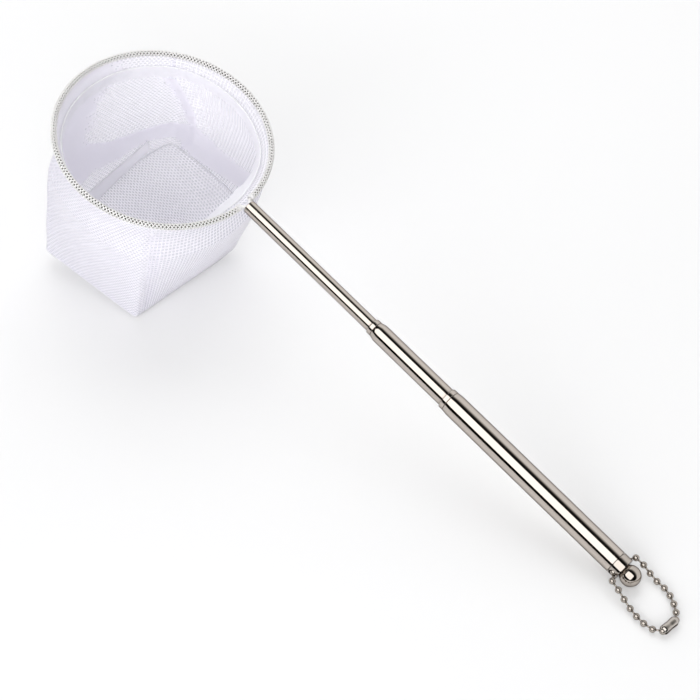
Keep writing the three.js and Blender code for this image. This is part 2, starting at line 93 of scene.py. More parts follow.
def mottled(name, light, dark, scale, detail):
    """A material with a noise on the piece's own place that wanders between two tints."""
    made = bpy.data.materials.new(name)
    made.use_nodes = True
    nodes, wires = made.node_tree.nodes, made.node_tree.links
    where = nodes.new("ShaderNodeTexCoord")
    clouds = nodes.new("ShaderNodeTexNoise")
    clouds.inputs["Scale"].default_value = scale
    clouds.inputs["Detail"].default_value = detail
    wires.new(where.outputs["Object"], clouds.inputs["Vector"])
    tint = nodes.new("ShaderNodeMix")
    tint.data_type = "RGBA"
    tint.inputs["A"].default_value = (*dark, 1)
    tint.inputs["B"].default_value = (*light, 1)
    wires.new(clouds.outputs["Fac"], tint.inputs["Factor"])
    wires.new(tint.outputs["Result"], nodes["Principled BSDF"].inputs["Base Color"])
    return made


def roughened(material, source, strength, distance):
    """Adds a fine bump to a material from a noise node's output."""
    nodes, wires = material.node_tree.nodes, material.node_tree.links
    bump = nodes.new("ShaderNodeBump")
    bump.inputs["Strength"].default_value = strength
    bump.inputs["Distance"].default_value = distance
    wires.new(source.outputs["Fac"], bump.inputs["Height"])
    wires.new(bump.outputs["Normal"], nodes["Principled BSDF"].inputs["Normal"])


def polished_steel(name, light, dark, rough, place=Matrix.Identity(4), drawn=(1, 1, 1),
                   gap=0.0004):
    """Bright steel: faint draw lines, cloudy polish, tiny scratches, and painted shade that darkens
    its narrow gaps.
    """
    steel = mottled(name, light, dark, scale=60, detail=2)
    nodes, wires = steel.node_tree.nodes, steel.node_tree.links
    shader = nodes["Principled BSDF"]
    along = nodes.new("ShaderNodeMapping")
    along.vector_type = "TEXTURE"
    along.inputs["Location"].default_value = place.translation
    along.inputs["Rotation"].default_value = place.to_euler()
    along.inputs["Scale"].default_value = drawn
    wires.new(nodes["Texture Coordinate"].outputs["Object"], along.inputs["Vector"])
    lines = nodes.new("ShaderNodeTexNoise")
    lines.inputs["Scale"].default_value = 900
    lines.inputs["Detail"].default_value = 3
    wires.new(along.outputs["Vector"], lines.inputs["Vector"])
    # Painted shade: ambient occlusion darkens the colour towards near black in narrow gaps and
    # corners.
    gaps = nodes.new("ShaderNodeAmbientOcclusion")
    gaps.samples = 6
    gaps.inputs["Distance"].default_value = gap
    deep = nodes.new("ShaderNodeMath")
    deep.operation = "POWER"
    deep.inputs[1].default_value = 1.6
    wires.new(gaps.outputs["AO"], deep.inputs[0])
    painted_gap_shade = nodes.new("ShaderNodeMix")
    painted_gap_shade.data_type = "RGBA"
    painted_gap_shade.inputs["A"].default_value = (0.02, 0.015, 0.01, 1)
    wires.new(deep.outputs["Value"], painted_gap_shade.inputs["Factor"])
    wires.new(nodes["Mix"].outputs["Result"], painted_gap_shade.inputs["B"])
    wires.new(painted_gap_shade.outputs["Result"], shader.inputs["Base Color"])
    polish = nodes.new("ShaderNodeMapRange")
    polish.inputs["To Min"].default_value = rough * 0.7
    polish.inputs["To Max"].default_value = rough * 1.5
    wires.new(lines.outputs["Fac"], polish.inputs["Value"])
    wires.new(polish.outputs["Result"], shader.inputs["Roughness"])
    roughened(steel, lines, strength=0.02, distance=0.0001)
    shader.inputs["Metallic"].default_value = 1
    shader.inputs["Specular Tint"].default_value = (0.15, 0.14, 0.16, 1)
    return steel


# The bead steel is darker than the tube steel, as painted shade for the dark surroundings the beads
# reflect.
bead_steel = polished_steel("bead steel", (0.5, 0.455, 0.41), (0.42, 0.38, 0.34), 0.07)
chain = bmesh.new()
for spot, before, after in zip(beads, [beads[0], *beads], [*beads[1:], beads[-1]]):
    bead = bmesh.ops.create_uvsphere(
        chain, u_segments=20, v_segments=14, radius=bead_radius,
        matrix=facing(spot, after - before),
    )["verts"]
    for pole in (max(bead, key=lambda v: (v.co - spot).dot(after - before)),
                 min(bead, key=lambda v: (v.co - spot).dot(after - before))):
        pole.co += (spot - pole.co).normalized() * bead_dimple
for spot, after in zip(beads, beads[1:]):
    bmesh.ops.create_cone(
        chain, segments=10, radius1=link_radius, radius2=link_radius,
        depth=(after - spot).length - bead_radius, cap_ends=True,
        matrix=facing((spot + after) / 2, after - spot),
    )
bead_chain = finished(chain, "bead_chain_beads", bead_steel)

# Chain clasp: a strip of thin steel rolled into an open tube with both ends drawn in,
# so that the last bead of each chain end snaps in through the slot and can't pull out.
clasp_radius, clasp_wall, clasp_mouth, clasp_slot = 0.00215, 0.00035, 0.0011, 0.9
clasp_over, clasp_end_round, clasp_steps = 0.0004, 0.0013, 28
clasp_waist, clasp_waist_half = clasp_radius * 0.93, 0.0006
first_bead, last_bead = beads[0], beads[-1]
clasp_along = last_bead - first_bead
clasp_half = clasp_along.length / 2 + clasp_over
clasp_end = [
    (clasp_mouth, clasp_half), (clasp_radius * 0.8, clasp_half - clasp_end_round * 0.3),
    (clasp_radius * 0.97, clasp_half - clasp_end_round * 0.8),
    (clasp_radius, clasp_half - clasp_end_round * 1.4), (clasp_waist, clasp_waist_half),
]
clasp = bmesh.new()
side = [
    clasp.verts.new((radius, 0, height))
    for radius, height in [(radius, -height) for radius, height in clasp_end] + clasp_end[::-1]
]
profile = [clasp.edges.new(pair) for pair in zip(side, side[1:])]
bmesh.ops.rotate(clasp, verts=side, matrix=Matrix.Rotation(clasp_slot / 2, 3, "Z"))
bmesh.ops.spin(
    clasp, geom=side + profile, cent=(0, 0, 0), axis=(0, 0, 1),
    angle=2 * math.pi - clasp_slot, steps=clasp_steps,
)
bmesh.ops.recalc_face_normals(clasp, faces=clasp.faces)
bmesh.ops.solidify(clasp, geom=clasp.faces, thickness=clasp_wall)
upright = Vector((0, 0, 1)).rotation_difference(clasp_along).to_matrix().to_4x4()
bmesh.ops.transform(
    clasp, verts=clasp.verts,
    matrix=Matrix.Translation((first_bead + last_bead) / 2) @ upright,
)
clasp_steel = polished_steel("clasp steel", (0.58, 0.54, 0.5), (0.5, 0.465, 0.43), 0.1)
chain_clasp = finished(clasp, "chain_clasp_folded", clasp_steel)
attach(chain_clasp, "chain")
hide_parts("chain_clasp")

chain = bmesh.new()
chain.from_mesh(bead_chain.data)
bmesh.ops.create_cone(
    chain, segments=10, radius1=link_radius, radius2=link_radius, cap_ends=True,
    depth=clasp_along.length - bead_radius,
    matrix=facing((first_bead + last_bead) / 2, clasp_along),
)
for face in chain.faces:
    face.smooth = True
chain.to_mesh(bead_chain.data)
chain.free()
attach(bead_chain, "chain")
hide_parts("bead_chain")

# Handle tube: the outer drawn steel tube, polished, its mouth swaged in to a lip that
# guides the middle tube; a fine line shows where the lip's collar was rolled.
neck = Vector(joints["middle_twist"]["pos_m"])
outward = Vector(joints["middle_twist"]["axis"])
slope = math.atan2(outward.z, -outward.x)
lay = Matrix.Translation(neck) @ Matrix.Rotation(slope, 4, "Y") @ Matrix.Scale(0.001, 4)
tube_wall, lip_gap, lip_collar, lip_shoulder, lip_line = 0.5, 0.15, 2.3, 3.0, 0.2
lip_round, lip_curve, bore_flare, bore_flare_rise = 0.36, 0.8, 1.5, 0.15
handle_radius, middle_radius, inner_radius = 5.4, 4.45, 3.2
handle_start, handle_end = 129.1, 229.9
lathe_steps, lathe_weld, crisp_degrees = 96, 0.0005, 11


def turned(outline):
    """A lathe turning about the local X axis of a closed outline of (x, radius) in mm."""
    turning = bmesh.new()
    ring = [turning.verts.new((x, 0, radius)) for x, radius in outline]
    edges = [turning.edges.new(pair) for pair in zip(ring, [*ring[1:], ring[0]])]
    bmesh.ops.spin(
        turning, geom=ring + edges, cent=(0, 0, 0), axis=(1, 0, 0),
        angle=2 * math.pi, steps=lathe_steps, use_merge=True,
    )
    bmesh.ops.remove_doubles(turning, verts=turning.verts, dist=lathe_weld)
    bmesh.ops.recalc_face_normals(turning, faces=turning.faces)
    return turning


def lipped_tube(start, radius, inside_radius, foot):
    """Outline of a tube with a swaged lip at start, round a tube of inside_radius."""
    bore = inside_radius + lip_gap
    lip = bore + tube_wall
    groove = start + lip_collar
    shoulder = start + lip_collar + lip_shoulder
    outside = [
        (start, lip - lip_round), (start + lip_round * 0.12, lip - lip_round * 0.5),
        (start + lip_round * 0.5, lip - lip_round * 0.12), (start + lip_round, lip),
        (groove - lip_line, lip), (groove, lip - lip_line), (groove + lip_line, lip),
        (shoulder - lip_curve, radius - (radius - lip) * 0.12), (shoulder, radius),
    ]
    inside = [
        (shoulder, radius - tube_wall), (groove + bore_flare, bore + bore_flare_rise),
        (groove, bore), (start, bore),
    ]
    return [*outside, *foot, *inside]


def keep_crisp(piece):
    """Smooth shading that stops at the piece's real edges."""
    piece.data.set_sharp_from_angle(angle=math.radians(crisp_degrees))
    return piece


def laid(mesh, name, material):
    """The bmesh, made in mm along the handle's line, as a finished piece in its place."""
    bmesh.ops.recalc_face_normals(mesh, faces=mesh.faces)
    bmesh.ops.transform(mesh, verts=mesh.verts, matrix=lay)
    return finished(mesh, name, material)


tube_steel = polished_steel(
    "tube steel", (0.60, 0.545, 0.495), (0.56, 0.505, 0.455), 0.06, lay, (12, 1, 1), 0.0018
)
handle = turned(lipped_tube(handle_start, handle_radius, middle_radius, [
    (handle_end, handle_radius), (handle_end, handle_radius - tube_wall)
]))
handle_tube = keep_crisp(laid(handle, "handle_tube_drawn", tube_steel))
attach(handle_tube, "handle")
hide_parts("handle_tube")

# End knob: turned steel plug pressed into the handle's tail, with a band that is
# drilled across for the chain, a narrow neck and a ball.
spigot_length, spigot_radius, spigot_bore, spigot_floor = 8.0, 4.75, 3.55, handle_end - 0.5
band_start, band_end, band_edge = handle_end + 0.3, handle_end + 4.8, 0.3
neck_radius, neck_fillet = 3.0, 0.4
ball_radius, ball_at, ball_steps = 4.7, handle_end + 8.4, 28
hole_radius_m, drill_length_m, drill_sides = 0.0018, 0.03, 40
ball_sweep = math.pi - math.asin(neck_radius / ball_radius)
ball = [
    (ball_at - ball_radius * math.cos(turn), ball_radius * math.sin(turn))
    for turn in np.linspace(math.pi - ball_sweep, math.pi, ball_steps)
]
knob = turned([
    (handle_end - spigot_length, spigot_bore), (handle_end - spigot_length, spigot_radius),
    (band_start, spigot_radius), (band_start, handle_radius - band_edge),
    (band_start + band_edge * 0.35, handle_radius - band_edge * 0.2),
    (band_start + band_edge, handle_radius), (band_end - band_edge, handle_radius),
    (band_end - band_edge * 0.35, handle_radius - band_edge * 0.2),
    (band_end, handle_radius - band_edge), (band_end, neck_radius + neck_fillet),
    (band_end + neck_fillet * 0.3, neck_radius + neck_fillet * 0.25),
    (band_end + neck_fillet, neck_radius), *ball,
    (spigot_floor, 0), (spigot_floor, spigot_bore),
])
# The knob steel is a darker copy of the tube steel, as painted shade for the dark surroundings the
# ball reflects.
knob_steel = polished_steel("knob steel", (0.53, 0.48, 0.435), (0.48, 0.435, 0.39), 0.06, lay)
end_knob = laid(knob, "end_knob_turned", knob_steel)
drill = bmesh.new()
bmesh.ops.create_cone(
    drill, segments=drill_sides, radius1=hole_radius_m, radius2=hole_radius_m,
    depth=drill_length_m, cap_ends=True,
    matrix=Matrix.Translation(cross_hole) @ Matrix.Rotation(math.pi / 2, 4, "X"),
)
drilling = finished(drill, "drill", knob_steel)
cut = end_knob.modifiers.new("cross-hole", "BOOLEAN")
cut.object, cut.operation, cut.solver = drilling, "DIFFERENCE", "EXACT"
drilled = bpy.data.meshes.new_from_object(
    end_knob.evaluated_get(bpy.context.evaluated_depsgraph_get())
)
end_knob.modifiers.clear()
end_knob.data = drilled
bpy.data.objects.remove(drilling)
keep_crisp(end_knob)
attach(end_knob, "handle")
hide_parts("end_knob")

# Middle tube: slides in the handle; the same drawn steel and swaged lip, with a rolled
# groove at its hidden foot that holds the two brass friction shells.
middle_start, middle_end = 82.6, 178.7
shell_bite, foot_lip, foot_cone = 0.45, 1.5, 0.6


def grooved_foot(end, radius, shell):
    """The rolled groove at a tube's foot, for the friction shells."""
    low = radius - shell_bite
    return [
        (end - foot_lip - shell - 2 * foot_cone, radius), (end - foot_lip - shell - foot_cone, low),
        (end - foot_lip - foot_cone, low), (end - foot_lip, radius), (end, radius),
    ]


def foot_inside(end, radius, shell):
    """The inside of the same groove, from the end back into the tube."""
    return [(x, r - tube_wall) for x, r in reversed(grooved_foot(end, radius, shell))]


middle_shell, inner_shell = 10.0, 8.0
middle = turned(lipped_tube(middle_start, middle_radius, inner_radius, [
    *grooved_foot(middle_end, middle_radius, middle_shell),
    *foot_inside(middle_end, middle_radius, middle_shell),
]))
middle_tube = keep_crisp(laid(middle, "middle_tube_drawn", tube_steel))
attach(middle_tube, "middle")
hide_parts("middle_tube")

# Inner tube: the thin steel tube that carries the hoop, cut square at its mouth with a
# slightly broken edge, with the same grooved foot.
inner_start, inner_end, broken_edge = 2.4, 98.9, 0.12
inner = turned([
    (inner_start, inner_radius - broken_edge), (inner_start + broken_edge, inner_radius),
    *grooved_foot(inner_end, inner_radius, inner_shell),
    *foot_inside(inner_end, inner_radius, inner_shell),
    (inner_start + broken_edge, inner_radius - tube_wall),
    (inner_start, inner_radius - tube_wall + broken_edge),
])
inner_tube = keep_crisp(laid(inner, "inner_tube_drawn", tube_steel))
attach(inner_tube, "head")
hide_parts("inner_tube")

# Friction shells and ferrule: brass, stamped and turned, hidden inside the tubes but for
# the ferrule's face in the inner tube's mouth; their solids keep their shape.
shell_brass = polished_steel("shell brass", (0.72, 0.53, 0.24), (0.6, 0.42, 0.17), 0.25)
for stamped in ("middle_shell_left", "middle_shell_right", "inner_shell_left",
                "inner_shell_right", "wire_ferrule"):
    frame["nodes"][stamped].data.materials.clear()
    frame["nodes"][stamped].data.materials.append(shell_brass)

# Hoop wire: hard-drawn steel wire, its colour painted dark brown as the shade seen between the
# braid's strands and left bright steel near the neck, bent to the hoop with both tails gripped in
# the ferrule.
# Painted shade: the wire's dark brown stands in for the shade between the braid's strands; near the
# neck it blends to bright steel.
wire_steel = polished_steel("wire steel", (0.07, 0.05, 0.04), (0.03, 0.024, 0.02), 0.5)
bright_within = 0.0075
wire_nodes, wire_links = wire_steel.node_tree.nodes, wire_steel.node_tree.links
from_neck = wire_nodes.new("ShaderNodeMapping")
from_neck.vector_type = "TEXTURE"
from_neck.inputs["Location"].default_value = neck
from_neck.inputs["Scale"].default_value = (bright_within, bright_within, bright_within)
wire_links.new(wire_nodes["Texture Coordinate"].outputs["Object"], from_neck.inputs["Vector"])
near_neck = wire_nodes.new("ShaderNodeTexGradient")
near_neck.gradient_type = "SPHERICAL"
wire_links.new(from_neck.outputs["Vector"], near_neck.inputs["Vector"])
near_neck_edge = wire_nodes.new("ShaderNodeMapRange")
near_neck_edge.inputs["From Min"].default_value = 0.05
near_neck_edge.inputs["From Max"].default_value = 0.25
wire_links.new(near_neck.outputs["Fac"], near_neck_edge.inputs["Value"])
bare_tint = wire_nodes.new("ShaderNodeMix")
bare_tint.data_type = "RGBA"
bare_tint.inputs["B"].default_value = (0.95, 0.94, 0.93, 1)
wire_links.new(near_neck_edge.outputs["Result"], bare_tint.inputs["Factor"])
wire_links.new(wire_nodes["Mix"].outputs["Result"], bare_tint.inputs["A"])
wire_links.new(bare_tint.outputs["Result"], wire_nodes["Principled BSDF"].inputs["Base Color"])
wire_nodes["Principled BSDF"].inputs["Metallic"].default_value = 0.35
frame["nodes"]["hoop_wire"].data.materials.clear()
frame["nodes"]["hoop_wire"].data.materials.append(wire_steel)

# Hoop braid: bright flat strands, four laid each way, woven over and under one another
# as a sleeve round the hoop wire, which shows dark between them.
hoop_radius, hoop_yaw = 50.0, math.radians(6)
hoop_length = 2 * math.pi * hoop_radius
braid_margin, strands_each_way, braid_lead = 4.6, 4, 6.6
strand_radius, strand_wave, strand_half_width, strand_half_thick = 1.31, 0.14, 0.38, 0.13
strand_steps_a_turn = 18
hoop_middle = (-hoop_radius * math.cos(hoop_yaw), -hoop_radius * math.sin(hoop_yaw))


def reshape(mesh, where):
    """Moves every vertex to where(x, y, z), worked on whole columns."""
    moved = where(*np.array([vert.co for vert in mesh.verts]).T)
    for vert, spot in zip(mesh.verts, np.stack(moved, axis=-1)):
        vert.co = spot


def round_the_hoop(along, out, up):
    """A place at an arc length from the neck, a way outwards and a way up, in mm."""
    turn = hoop_yaw + along / hoop_radius
    reach = hoop_radius + out
    return hoop_middle[0] + reach * np.cos(turn), hoop_middle[1] + reach * np.sin(turn), up


def coiled(mesh, section, turns, lead, way, steps):
    """Winds a flattened ring of vertices round the X axis as a helix, and closes its ends."""
    width, thick, radius = section
    ring = bmesh.ops.create_circle(mesh, segments=6, radius=1)["verts"]
    for vert in ring:
        vert.co = (vert.co.x * width, 0, radius + vert.co.y * thick)
    edges = list({edge for vert in ring for edge in vert.link_edges})
    count = round(turns * steps)
    bmesh.ops.spin(
        mesh, geom=ring + edges, cent=(0, 0, 0), axis=(1, 0, 0), angle=way * 2 * math.pi * turns,
        dvec=(turns * lead / count, 0, 0), steps=count,
    )
    bmesh.ops.holes_fill(mesh, edges=[e for e in mesh.edges if e.is_boundary], sides=6)


def over_and_under(way):
    """Lifts a strand over and under the strands laid the other way, at each crossing."""
    def lifted(x, y, z):
        turn = np.arctan2(-way * y, z) / (2 * np.pi)
        turns_along = turn + np.round(x / braid_lead - turn)
        wave = way * strand_wave * np.cos(2 * np.pi * strands_each_way * turns_along)
        lift = 1 + wave / np.hypot(y, z)
        return x, y * lift, z * lift
    return lifted


braid_turns = (hoop_length - 2 * braid_margin) / braid_lead
braid = bmesh.new()
for way in (1, -1):
    for strand in range(strands_each_way):
        one = bmesh.new()
        coiled(one, (strand_half_width, strand_half_thick, strand_radius), braid_turns,
               braid_lead, way, strand_steps_a_turn)
        reshape(one, over_and_under(way))
        bmesh.ops.rotate(
            one, verts=one.verts,
            matrix=Matrix.Rotation(way * 2 * math.pi * strand / strands_each_way, 3, "X"),
        )
        spare = bpy.data.meshes.new("strand")
        one.to_mesh(spare)
        one.free()
        braid.from_mesh(spare)
        bpy.data.meshes.remove(spare)
reshape(braid, lambda x, y, z: round_the_hoop(x + braid_margin, y, z))
braid_steel = polished_steel(
    "braid steel", (0.99, 0.98, 0.97), (0.93, 0.915, 0.9), 0.36, gap=0.0002
)
braid_steel.node_tree.nodes["Principled BSDF"].inputs["Metallic"].default_value = 0.1
hoop_braid = laid(braid, "hoop_braid_woven", braid_steel)
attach(hoop_braid, "head")
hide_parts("hoop_braid")

# Neck wraps: white thread bound tightly over the hoop on each side of the tube's mouth,
# so that the braid's cut ends don't fray.
wrap_from, wrap_to, thread_radius, wrap_radius, wrap_steps_a_turn = 3.3, 5.0, 0.27, 1.35, 20
wrap_pitch = 1.9 * thread_radius


def white_thread(name, light, dark, twist):
    """Twisted white yarn: fine uneven plies and soft shade between the turns."""
    yarn = mottled(name, light, dark, scale=twist, detail=4)
    roughened(yarn, yarn.node_tree.nodes["Noise Texture"], strength=0.3, distance=0.0002)
    shader = yarn.node_tree.nodes["Principled BSDF"]
    shader.inputs["Roughness"].default_value = 0.55
    shader.inputs["Sheen Weight"].default_value = 0.3
    return yarn


wrap_thread = white_thread("wrap thread", (0.88, 0.87, 0.87), (0.74, 0.73, 0.74), 2500)
for side_of_neck, way in (("neck_wrap_left", 1), ("neck_wrap_right", -1)):
    wrap = bmesh.new()
    coiled(wrap, (thread_radius, thread_radius, wrap_radius),
           (wrap_to - wrap_from) / wrap_pitch, wrap_pitch, 1, wrap_steps_a_turn)
    reshape(wrap, lambda x, y, z: round_the_hoop(way * (x + wrap_from), y, z))
    neck_wrap = laid(wrap, f"{side_of_neck}_thread", wrap_thread)
    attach(neck_wrap, "head")
    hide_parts(side_of_neck)

# Bag wall: soft knitted nylon net with small open cells, sewn to a tube and hung from
# the hoop; it runs from the round rim to the boxed bottom, one far corner of which sags
# while the other is drawn up, and it keeps a crease and a ridge where it was folded.
rim_radius, rim_drop, wall_foot = 50.4, 1.9, 79.2
wall_bulge, bulge_lean, sway_size, sway_height = 2.5, 0.3, 16.0, 0.5
base_half_x, base_half_y, base_shift = 31.0, 40.0, (2.0, 1.0)
near_right, far_right, far_left, near_left = 10.0, 3.0, 3.0, 2.0
base_taper, right_bow, far_bow = 0.09, 3.0, 5.0
far_left_sag, far_right_lift = 11.0, 14.0
drawn_up_x, drawn_up = (-31, -6, 8, 17, 25, 31), (0, 8, 14, 17, 14, 7)
crease_round = (0.3, 0.315, 0.343, 0.385, 0.432, 0.475, 0.517, 0.546)
crease_down = (0.633, 0.583, 0.692, 0.692, 0.675, 0.642, 0.558, 0.525)
crease_push, crease_width = 1.5, 0.05
creased_round, creased_share = (0.28, 0.33, 0.48, 0.54), (0, 1, 1, 0)
ridge_down = (0.2, 0.28, 0.56, 0.8, 1.0)
ridge_round = (0.362, 0.351, 0.315, 0.308, 0.325)
ridge_push, ridge_width = 1.8, 0.017
ridged_down, ridged_share = (0.1, 0.3, 0.8, 1), (0, 1, 1, 0)
slack_push, slack_down, slack_rise = 5.5, 0.34, 0.7
slack_round = (0, 0.06, 0.13, 0.25, 0.38, 0.5, 0.63, 0.88, 1)
slack_share = (1, 1, 0.75, 0.45, 0.15, 0.4, 0.65, 0.6, 1)
slant_cells, straight_cells, smallest_cell = (146, 61), (160, 40), 0.9
strand_inset, strand_crown = 0.25, 0.14
slant_from, slant_to, cloth_overlap, cell_corner = 0.005, 0.87, 0.003, 0.5
net_girth, net_height, cloth_weld, corner_steps = 297.0, 79.0, 0.01, 7
quarter = np.linspace(0, np.pi / 2, corner_steps)
base_edge = np.array([(base_half_x, 0), *(
    (x * (base_half_x - corner) + corner * math.cos(turn),
     y * (base_half_y - corner) + corner * math.sin(turn))
    for k, (x, y, corner) in enumerate((
        (1, 1, near_right), (-1, 1, far_right), (-1, -1, far_left), (1, -1, near_left)))
    for turn in quarter + k * np.pi / 2
), (base_half_x, 0)])
base_run = np.concatenate([[0], np.cumsum(np.linalg.norm(np.diff(base_edge, axis=0), axis=1))])


def hung(x, y):
    """A place on the flat base as it hangs: narrowed, bowed, tilted, its right edge drawn up."""
    near, right = (x / base_half_x + 1) / 2, (y / base_half_y + 1) / 2
    lift = (1 - near) * (right * far_right_lift - (1 - right) * far_left_sag)
    lift = lift + np.interp(x, drawn_up_x, drawn_up) * np.clip(2 * y / base_half_y - 1, 0, 1) ** 2
    bowed_x = x - far_bow * (1 - near) * (1 - (y / base_half_y) ** 2)
    bowed_y = y * (1 - base_taper * near)
    bowed_y = bowed_y + right_bow * np.maximum(y / base_half_y, 0) * (1 - (x / base_half_x) ** 2)
    return bowed_x + base_shift[0], bowed_y + base_shift[1], lift


def ripple(x, y, z, size, height):
    """Soft uneven waves in cloth."""
    return height * np.array([noise.noise(Vector(spot) / size) for spot in zip(x, y, z)])


def slack(around):
    """How loose the cloth hangs under the rim: taut at the far side, most beside the handle."""
    return np.interp(around % 1, slack_round, slack_share)


def on_the_wall(around, down, inward=0.0):
    """A place on the bag's wall by its share round and down, some mm inside it."""
    round_share = around % 1
    x = np.interp(round_share, base_run / base_run[-1], base_edge[:, 0])
    y = np.interp(round_share, base_run / base_run[-1], base_edge[:, 1])
    foot_x, foot_y, lift = hung(x, y)
    out_x, out_y = np.cos(2 * np.pi * around), np.sin(2 * np.pi * around)
    swell = np.sin(np.pi * np.clip(down, 0, 1))
    off_crease = (down - np.interp(round_share, crease_round, crease_down)) / crease_width
    creased = np.interp(round_share, creased_round, creased_share)
    off_ridge = (round_share - np.interp(down, ridge_down, ridge_round)) / ridge_width
    ridged = np.interp(down, ridged_down, ridged_share)
    funnel = np.sin(np.pi * np.clip(down / slack_down, 0, 1) ** slack_rise)
    falls_in = slack_push * slack(around) * funnel
    out = (
        swell * wall_bulge * (1 - bulge_lean + bulge_lean * out_y) - inward - falls_in
        - crease_push * creased * np.exp(-(off_crease**2))
        - ridge_push * ridged * np.exp(-(off_ridge**2))
    )
    at_x = ((1 - down) * rim_radius + out) * out_x + down * foot_x
    at_y = ((1 - down) * rim_radius + out) * out_y + down * foot_y
    at_z = -rim_drop * (1 - down) - wall_foot * down + lift * down**2
    sway = swell * ripple(at_x, at_y, at_z, sway_size, sway_height)
    return at_x + sway * out_x + hoop_middle[0], at_y + sway * out_y + hoop_middle[1], at_z


def between(value, low, high):
    """How far a value lies inside its two limits; below nought outside them."""
    return np.minimum(value - low, high - value)


def knitted(across, along):
    """A unit sheet of six-sided cells: a grid with every other upright taken from each row."""
    sheet = bmesh.new()
    bmesh.ops.create_grid(sheet, x_segments=2 * across, y_segments=along, size=0.5)

    def step(spot):
        return round((spot.x + 0.5) * 4 * across) / 2, round((spot.y + 0.5) * 2 * along) / 2

    spare = []
    for edge in sheet.edges:
        column, row = step((edge.verts[0].co + edge.verts[1].co) / 2)
        if row % 1 and len(edge.link_faces) == 2 and (column + row - 0.5) % 2:
            spare.append(edge)
    bmesh.ops.dissolve_edges(sheet, edges=spare)
    for vert in sheet.verts:
        vert.co.y += (1 - 2 * (sum(step(vert.co)) % 2)) / (6 * along)
    return sheet


def open_cells(net):
    """Insets each cell of a net and marks the thin film that is left in it."""
    film = net.faces.layers.float.new("film")
    cells = [face for face in net.faces if face.calc_area() > smallest_cell]
    bmesh.ops.inset_individual(
        net, faces=cells, thickness=strand_inset, depth=-strand_crown, use_even_offset=True
    )
    for cell in cells:
        cell[film] = 1


def net_sleeve(sheet):
    """Rolls a unit sheet to a plain tube, as tall as the wall and as wide as its girth."""
    radius = net_girth / (2 * np.pi)
    reshape(sheet, lambda x, y, z: (
        radius * np.cos(2 * np.pi * x), radius * np.sin(2 * np.pi * x), (y - 0.5) * net_height))
    bmesh.ops.remove_doubles(sheet, verts=sheet.verts, dist=cloth_weld)
    bmesh.ops.recalc_face_normals(sheet, faces=sheet.faces)


def from_sleeve(x, y, z):
    """The share round and down, and the mm inside it, of a place on that tube."""
    inside = net_girth / (2 * np.pi) - np.hypot(x, y)
    return np.arctan2(y, x) / (2 * np.pi), -z / net_height, inside


def soft_nylon(name, light, dark, knit, through):
    """Thin white nylon: uneven threads with a faint cool tint that let some light through."""
    cloth = mottled(name, light, dark, scale=knit, detail=3)
    nodes, wires = cloth.node_tree.nodes, cloth.node_tree.links
    roughened(cloth, nodes["Noise Texture"], strength=0.25, distance=0.0002)
    shader = nodes["Principled BSDF"]
    shader.inputs["Roughness"].default_value = 0.5
    shader.inputs["Sheen Weight"].default_value = 0.2
    glow = nodes.new("ShaderNodeBsdfTranslucent")
    wires.new(nodes["Mix"].outputs["Result"], glow.inputs["Color"])
    both = nodes.new("ShaderNodeMixShader")
    both.inputs["Fac"].default_value = through
    wires.new(shader.outputs["BSDF"], both.inputs[1])
    wires.new(glow.outputs["BSDF"], both.inputs[2])
    wires.new(both.outputs["Shader"], nodes["Material Output"].inputs["Surface"])
    return cloth


net_nylon = soft_nylon("net nylon", (0.968, 0.955, 1.0), (0.938, 0.925, 0.98), 900, 0.3)
film_nodes, film_wires = net_nylon.node_tree.nodes, net_nylon.node_tree.links
film_mark = film_nodes.new("ShaderNodeAttribute")
film_mark.attribute_name = "film"
film_tint = film_nodes.new("ShaderNodeMix")
film_tint.data_type = "RGBA"
film_tint.inputs["B"].default_value = (0.87, 0.86, 0.935, 1)
film_wires.new(film_mark.outputs["Fac"], film_tint.inputs["Factor"])
film_wires.new(film_nodes["Mix"].outputs["Result"], film_tint.inputs["A"])
film_wires.new(film_tint.outputs["Result"], film_nodes["Principled BSDF"].inputs["Base Color"])
film_wires.new(film_tint.outputs["Result"], film_nodes["Translucent BSDF"].inputs["Color"])
see_through = film_nodes.new("ShaderNodeMath")
see_through.operation = "MULTIPLY"
see_through.inputs[1].default_value = 0.3
film_wires.new(film_mark.outputs["Fac"], see_through.inputs[0])
thinned = film_nodes.new("ShaderNodeMixShader")
film_wires.new(see_through.outputs["Value"], thinned.inputs["Fac"])
film_wires.new(film_nodes["Mix Shader"].outputs["Shader"], thinned.inputs[1])
film_wires.new(film_nodes.new("ShaderNodeBsdfTransparent").outputs["BSDF"], thinned.inputs[2])
film_wires.new(thinned.outputs["Shader"], film_nodes["Material Output"].inputs["Surface"])

straight = bmesh.new()
bmesh.ops.create_grid(
    straight, x_segments=straight_cells[0], y_segments=straight_cells[1], size=0.5
)
slanting = knitted(*slant_cells)
wall = bmesh.new()
for cloth in (slanting, straight):
    net_sleeve(cloth)
    if cloth is straight:
        crossings = [vert for vert in cloth.verts if not vert.is_boundary]
        bmesh.ops.bevel(
            cloth, geom=crossings, affect="VERTICES", offset=cell_corner, segments=1,
            profile=0.5, material=-1,
        )
    open_cells(cloth)
    middles = np.array([face.calc_center_median() for face in cloth.faces])
    around, down, _ = from_sleeve(*middles.T)
    ridge = np.interp(down, ridge_down, ridge_round) + slant_from
    on_slant = between(around % 1, ridge, slant_to)
    outside = on_slant < -cloth_overlap if cloth is slanting else on_slant > cloth_overlap
    bmesh.ops.delete(
        cloth, geom=[face for face, out in zip(cloth.faces, outside) if out], context="FACES"
    )
    spare = bpy.data.meshes.new("cloth")
    cloth.to_mesh(spare)
    cloth.free()
    wall.from_mesh(spare)
    bpy.data.meshes.remove(spare)
reshape(wall, lambda x, y, z: on_the_wall(*from_sleeve(x, y, z)))
net_wall = laid(wall, "bag_wall_net", net_nylon)
